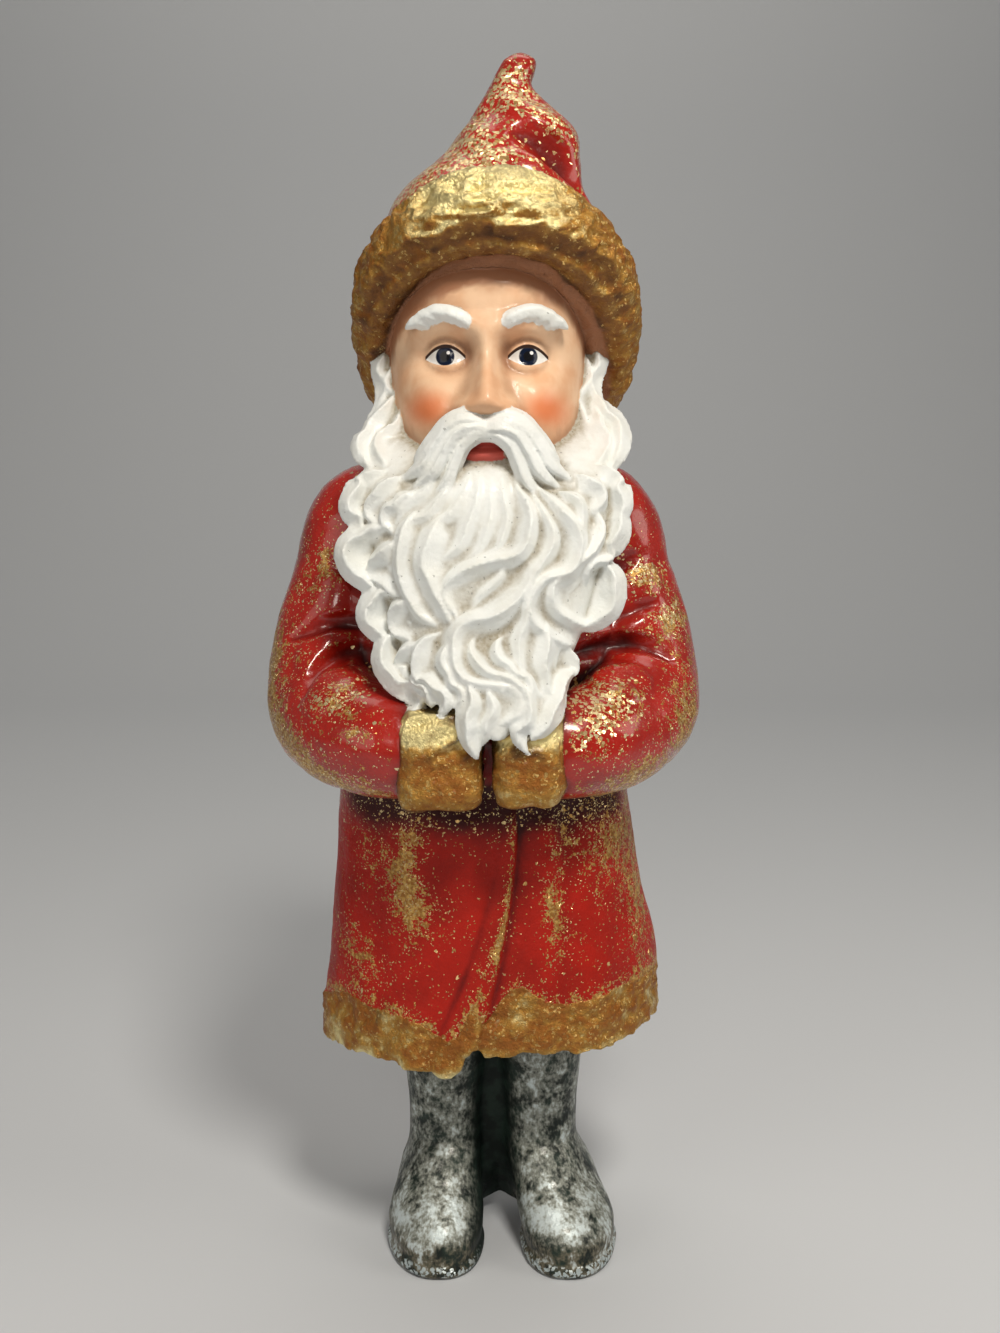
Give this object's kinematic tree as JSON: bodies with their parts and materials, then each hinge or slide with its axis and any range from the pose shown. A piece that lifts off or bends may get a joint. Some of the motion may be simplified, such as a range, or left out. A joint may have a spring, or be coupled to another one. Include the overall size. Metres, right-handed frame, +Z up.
{
  "type": "belsnickle figurine",
  "caption": "Standing cast figurine of an old winter gift-bringer in a long fur-trimmed coat and pointed cap, hands tucked in the cuffs, with a curly beard and boots.",
  "frame": {"origin": "on the ground, under the middle of the figure's box", "axes": "+Z up from the soles to the peak of the cap, -Y the way the figure faces, +X to the right as seen from the front"},
  "size_m": [0.1064, 0.0834, 0.3],
  "materials": {
    "painted_resin": "hand-painted casting: deep red lacquer with gold leaf flecks on coat and cap, rough gold trim, cuffs and hem, off-white beard, flesh face, dark boots dry-brushed with silver"
  },
  "bodies": {
    "root": {"belsnickle_figure": "painted_resin"}
  },
  "joints": []
}
